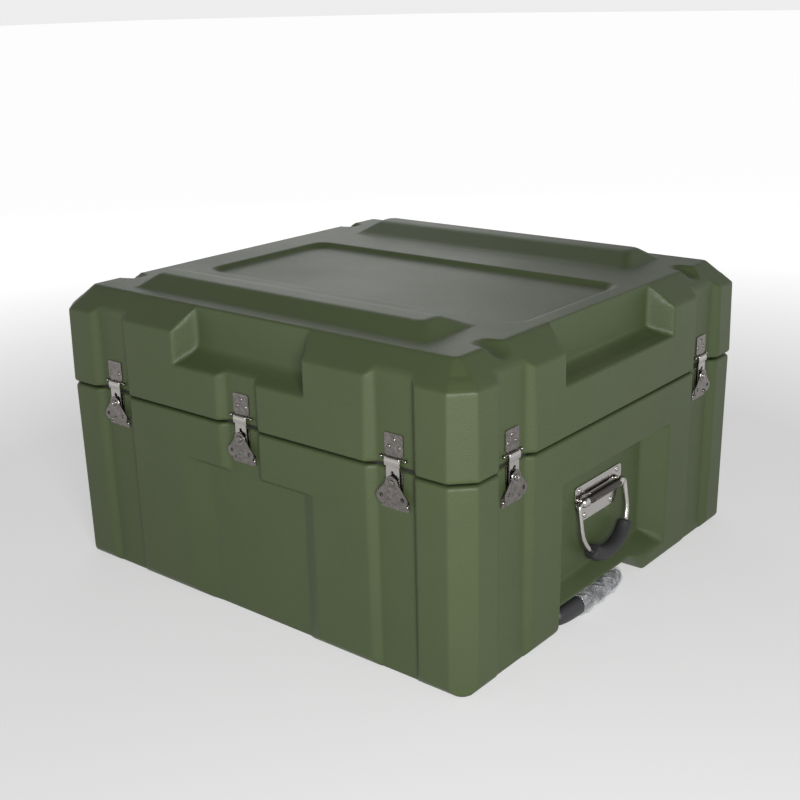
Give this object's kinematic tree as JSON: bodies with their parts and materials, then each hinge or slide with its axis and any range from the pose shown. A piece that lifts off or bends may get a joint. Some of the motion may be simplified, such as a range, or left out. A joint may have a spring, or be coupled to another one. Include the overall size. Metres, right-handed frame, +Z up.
{
  "type": "hard equipment case",
  "caption": "Moulded olive transit case with lift-off lid, twist latches all round, drop carry handles, a pull-out handle and small wheels.",
  "frame": {"origin": "centre of the footprint on the floor", "axes": "+Z up, +X towards the end with the pull handle, -Y towards the front long side"},
  "size_m": [0.7999, 0.7678, 0.474],
  "materials": {
    "olive_shell": "fine pebbled satin",
    "latch_steel": "nickel-plated pressed steel",
    "handle_steel": "polished stainless",
    "tube_metal": "satin",
    "black_rubber": "matt soft rubber",
    "wheel_black": "solid wheel",
    "seal": "soft sponge seal"
  },
  "bodies": {
    "base": {"base_shell": "olive_shell", "front_left_latch_plate": "latch_steel", "front_middle_latch_plate": "latch_steel", "front_right_latch_plate": "latch_steel", "back_left_latch_plate": "latch_steel", "back_middle_latch_plate": "latch_steel", "back_right_latch_plate": "latch_steel", "right_front_latch_plate": "latch_steel", "right_back_latch_plate": "latch_steel", "left_front_latch_plate": "latch_steel", "left_back_latch_plate": "latch_steel", "right_handle_plate": "handle_steel", "left_handle_plate": "handle_steel", "pull_tube_front": "tube_metal", "pull_tube_back": "tube_metal", "wheel_bracket_front": "handle_steel", "wheel_bracket_back": "handle_steel"},
    "lid": {"lid_shell": "olive_shell", "lid_gasket": "seal", "front_left_keeper": "latch_steel", "front_middle_keeper": "latch_steel", "front_right_keeper": "latch_steel", "back_left_keeper": "latch_steel", "back_middle_keeper": "latch_steel", "back_right_keeper": "latch_steel", "right_front_keeper": "latch_steel", "right_back_keeper": "latch_steel", "left_front_keeper": "latch_steel", "left_back_keeper": "latch_steel"},
    "front_left_wing": {"front_left_wing": "latch_steel"},
    "front_left_hook": {"front_left_hook": "latch_steel"},
    "front_middle_wing": {"front_middle_wing": "latch_steel"},
    "front_middle_hook": {"front_middle_hook": "latch_steel"},
    "front_right_wing": {"front_right_wing": "latch_steel"},
    "front_right_hook": {"front_right_hook": "latch_steel"},
    "back_left_wing": {"back_left_wing": "latch_steel"},
    "back_left_hook": {"back_left_hook": "latch_steel"},
    "back_middle_wing": {"back_middle_wing": "latch_steel"},
    "back_middle_hook": {"back_middle_hook": "latch_steel"},
    "back_right_wing": {"back_right_wing": "latch_steel"},
    "back_right_hook": {"back_right_hook": "latch_steel"},
    "right_front_wing": {"right_front_wing": "latch_steel"},
    "right_front_hook": {"right_front_hook": "latch_steel"},
    "right_back_wing": {"right_back_wing": "latch_steel"},
    "right_back_hook": {"right_back_hook": "latch_steel"},
    "left_front_wing": {"left_front_wing": "latch_steel"},
    "left_front_hook": {"left_front_hook": "latch_steel"},
    "left_back_wing": {"left_back_wing": "latch_steel"},
    "left_back_hook": {"left_back_hook": "latch_steel"},
    "right_handle": {"right_handle_bail": "handle_steel", "right_handle_sleeve": "black_rubber"},
    "left_handle": {"left_handle_bail": "handle_steel", "left_handle_sleeve": "black_rubber"},
    "pull_handle": {"pull_rod_front": "tube_metal", "pull_rod_back": "tube_metal", "pull_grip": "black_rubber"},
    "wheel_front": {"wheel_front": "wheel_black"},
    "wheel_back": {"wheel_back": "wheel_black"}
  },
  "joints": [
    {"name": "lid_lift", "type": "slide", "parent": "base", "child": "lid", "axis": [0, 0, 1], "range_m": [0, 0.3]},
    {"name": "front_left_wing_turn", "type": "hinge", "parent": "base", "child": "front_left_wing", "pos_m": [-0.279, -0.3792, 0.282], "axis": [0, -1, 0], "range_deg": [0, 180]},
    {"name": "front_left_hook_lift", "type": "slide", "parent": "base", "child": "front_left_hook", "axis": [0, 0, 1], "range_m": [0, 0.01]},
    {"name": "front_middle_wing_turn", "type": "hinge", "parent": "base", "child": "front_middle_wing", "pos_m": [0, -0.3792, 0.282], "axis": [0, -1, 0], "range_deg": [0, 180]},
    {"name": "front_middle_hook_lift", "type": "slide", "parent": "base", "child": "front_middle_hook", "axis": [0, 0, 1], "range_m": [0, 0.01]},
    {"name": "front_right_wing_turn", "type": "hinge", "parent": "base", "child": "front_right_wing", "pos_m": [0.279, -0.3792, 0.282], "axis": [0, -1, 0], "range_deg": [0, 180]},
    {"name": "front_right_hook_lift", "type": "slide", "parent": "base", "child": "front_right_hook", "axis": [0, 0, 1], "range_m": [0, 0.01]},
    {"name": "back_left_wing_turn", "type": "hinge", "parent": "base", "child": "back_left_wing", "pos_m": [-0.279, 0.3792, 0.282], "axis": [0, 1, 0], "range_deg": [0, 180]},
    {"name": "back_left_hook_lift", "type": "slide", "parent": "base", "child": "back_left_hook", "axis": [0, 0, 1], "range_m": [0, 0.01]},
    {"name": "back_middle_wing_turn", "type": "hinge", "parent": "base", "child": "back_middle_wing", "pos_m": [0, 0.3792, 0.282], "axis": [0, 1, 0], "range_deg": [0, 180]},
    {"name": "back_middle_hook_lift", "type": "slide", "parent": "base", "child": "back_middle_hook", "axis": [0, 0, 1], "range_m": [0, 0.01]},
    {"name": "back_right_wing_turn", "type": "hinge", "parent": "base", "child": "back_right_wing", "pos_m": [0.279, 0.3792, 0.282], "axis": [0, 1, 0], "range_deg": [0, 180]},
    {"name": "back_right_hook_lift", "type": "slide", "parent": "base", "child": "back_right_hook", "axis": [0, 0, 1], "range_m": [0, 0.01]},
    {"name": "right_front_wing_turn", "type": "hinge", "parent": "base", "child": "right_front_wing", "pos_m": [0.3952, -0.268, 0.282], "axis": [1, 0, 0], "range_deg": [0, 180]},
    {"name": "right_front_hook_lift", "type": "slide", "parent": "base", "child": "right_front_hook", "axis": [0, 0, 1], "range_m": [0, 0.01]},
    {"name": "right_back_wing_turn", "type": "hinge", "parent": "base", "child": "right_back_wing", "pos_m": [0.3952, 0.268, 0.282], "axis": [1, 0, 0], "range_deg": [0, 180]},
    {"name": "right_back_hook_lift", "type": "slide", "parent": "base", "child": "right_back_hook", "axis": [0, 0, 1], "range_m": [0, 0.01]},
    {"name": "left_front_wing_turn", "type": "hinge", "parent": "base", "child": "left_front_wing", "pos_m": [-0.3952, -0.268, 0.282], "axis": [-1, 0, 0], "range_deg": [0, 180]},
    {"name": "left_front_hook_lift", "type": "slide", "parent": "base", "child": "left_front_hook", "axis": [0, 0, 1], "range_m": [0, 0.01]},
    {"name": "left_back_wing_turn", "type": "hinge", "parent": "base", "child": "left_back_wing", "pos_m": [-0.3952, 0.268, 0.282], "axis": [-1, 0, 0], "range_deg": [0, 180]},
    {"name": "left_back_hook_lift", "type": "slide", "parent": "base", "child": "left_back_hook", "axis": [0, 0, 1], "range_m": [0, 0.01]},
    {"name": "right_handle_swing", "type": "hinge", "parent": "base", "child": "right_handle", "pos_m": [0.3704, 0, 0.165], "axis": [0, -1, 0], "range_deg": [0, 100]},
    {"name": "left_handle_swing", "type": "hinge", "parent": "base", "child": "left_handle", "pos_m": [-0.3704, 0, 0.165], "axis": [0, 1, 0], "range_deg": [0, 100]},
    {"name": "pull_handle_slide", "type": "slide", "parent": "base", "child": "pull_handle", "axis": [1, 0, 0], "range_m": [0, 0.35]},
    {"name": "wheel_front_spin", "type": "hinge", "parent": "base", "child": "wheel_front", "pos_m": [-0.368, -0.3335, 0.032], "axis": [0, 1, 0], "continuous": true},
    {"name": "wheel_back_spin", "type": "hinge", "parent": "base", "child": "wheel_back", "pos_m": [-0.368, 0.3335, 0.032], "axis": [0, 1, 0], "continuous": true}
  ],
  "couplings": [
    {"joint": "front_left_hook_lift", "follows": "front_left_wing_turn", "m_per_rad": 0.00318},
    {"joint": "front_middle_hook_lift", "follows": "front_middle_wing_turn", "m_per_rad": 0.00318},
    {"joint": "front_right_hook_lift", "follows": "front_right_wing_turn", "m_per_rad": 0.00318},
    {"joint": "back_left_hook_lift", "follows": "back_left_wing_turn", "m_per_rad": 0.00318},
    {"joint": "back_middle_hook_lift", "follows": "back_middle_wing_turn", "m_per_rad": 0.00318},
    {"joint": "back_right_hook_lift", "follows": "back_right_wing_turn", "m_per_rad": 0.00318},
    {"joint": "right_front_hook_lift", "follows": "right_front_wing_turn", "m_per_rad": 0.00318},
    {"joint": "right_back_hook_lift", "follows": "right_back_wing_turn", "m_per_rad": 0.00318},
    {"joint": "left_front_hook_lift", "follows": "left_front_wing_turn", "m_per_rad": 0.00318},
    {"joint": "left_back_hook_lift", "follows": "left_back_wing_turn", "m_per_rad": 0.00318}
  ]
}
